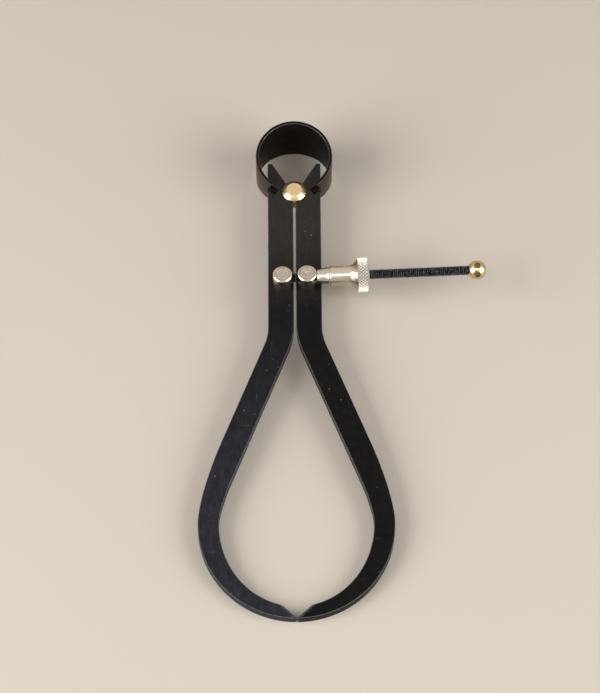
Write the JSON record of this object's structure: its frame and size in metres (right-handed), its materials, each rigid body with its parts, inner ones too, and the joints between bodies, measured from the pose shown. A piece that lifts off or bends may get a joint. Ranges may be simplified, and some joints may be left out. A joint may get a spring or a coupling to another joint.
{
  "type": "outside spring caliper",
  "caption": "Outside spring caliper with bowed flat legs on a grooved brass stud, a flat bow spring, and an adjusting screw with a quick-release knurled nut.",
  "frame": {"origin": "on the fulcrum axis, at the flat underside of the brass stud", "axes": "+Y from the measuring tips through the fulcrum to the bow spring, +Z along the fulcrum axis towards the side that carries the screw, +X towards the knurled nut"},
  "size_m": [0.091, 0.1755, 0.0199],
  "materials": {
    "stud": "turned bare brass, satin flat and bright cone",
    "leg_left": "satin black oxide on flat steel, lightly worn edges",
    "leg_right": "satin black oxide on flat steel, lightly worn edges",
    "bow_left": "satin black spring steel strip",
    "bow_right": "satin black spring steel strip",
    "post": "turned, nickel plated steel",
    "washer": "plain steel",
    "pin": "plain steel pin, filed flush",
    "screw": "blackened screw thread",
    "ball": "polished brass",
    "sleeve": "satin nickel plate, knurled flange",
    "jaw": "satin nickel plate",
    "wire": "plain spring wire",
    "end_ring": "satin nickel plate"
  },
  "bodies": {
    "stud": {"fulcrum_stud": "stud"},
    "left_leg": {"left_leg": "leg_left"},
    "right_leg": {"right_leg": "leg_right"},
    "bow_left": {"bow_spring_left": "bow_left"},
    "bow_right": {"bow_spring_right": "bow_right"},
    "screw_unit": {"left_post": "post", "left_post_washer": "washer", "screw_pin": "pin", "adjusting_screw": "screw", "ball_end": "ball"},
    "right_post": {"right_post": "post", "right_post_washer": "washer"},
    "nut": {"nut_sleeve": "sleeve", "nut_end_ring": "end_ring", "nut_jaw_spring": "wire"},
    "jaw_upper": {"nut_jaw_upper": "jaw"},
    "jaw_lower": {"nut_jaw_lower": "jaw"}
  },
  "joints": [
    {"name": "leg_spread", "type": "hinge", "parent": "stud", "child": "left_leg", "pos_m": [0, 0, 0.00305], "axis": [0, 0, -1], "range_deg": [0, 28]},
    {"name": "right_leg_spread", "type": "hinge", "parent": "stud", "child": "right_leg", "pos_m": [0, 0, 0.00305], "axis": [0, 0, 1], "range_deg": [0, 28]},
    {"name": "bow_left_turn", "type": "hinge", "parent": "left_leg", "child": "bow_left", "pos_m": [-0.00602, 0.00044, 0.00305], "axis": [0, 0, 1], "range_deg": [0, 30.14]},
    {"name": "bow_flex", "type": "hinge", "parent": "bow_left", "child": "bow_right", "pos_m": [0, 0.0221, 0.00305], "axis": [0, 0, -1], "range_deg": [0, 4.23]},
    {"name": "left_post_turn", "type": "hinge", "parent": "left_leg", "child": "screw_unit", "pos_m": [-0.0039, -0.0346, 0.00455], "axis": [0, 0, 1], "range_deg": [0, 25.73]},
    {"name": "right_post_turn", "type": "hinge", "parent": "right_leg", "child": "right_post", "pos_m": [0.0039, -0.03426, 0.00455], "axis": [0, 0, -1], "range_deg": [0, 30.37]},
    {"name": "nut_spin", "type": "hinge", "parent": "right_post", "child": "nut", "pos_m": [0.0039, -0.03426, 0.0076], "axis": [0.9991, 0.0423, 0], "continuous": true},
    {"name": "jaw_release", "type": "slide", "parent": "nut", "child": "jaw_upper", "axis": [0.023, -0.5442, 0.8387], "range_m": [0, 0.0003]},
    {"name": "jaw_lower_release", "type": "slide", "parent": "nut", "child": "jaw_lower", "axis": [-0.023, 0.5442, -0.8387], "range_m": [0, 0.0003]}
  ],
  "couplings": [
    {"joint": "right_leg_spread", "follows": "leg_spread", "ratio": 1},
    {"joint": "bow_left_turn", "follows": "leg_spread", "ratio": 1.0746},
    {"joint": "bow_flex", "follows": "leg_spread", "ratio": 0.1492},
    {"joint": "left_post_turn", "follows": "leg_spread", "ratio": 0.9171},
    {"joint": "right_post_turn", "follows": "leg_spread", "ratio": 1.0829},
    {"joint": "jaw_lower_release", "follows": "jaw_release", "ratio": 1}
  ]
}
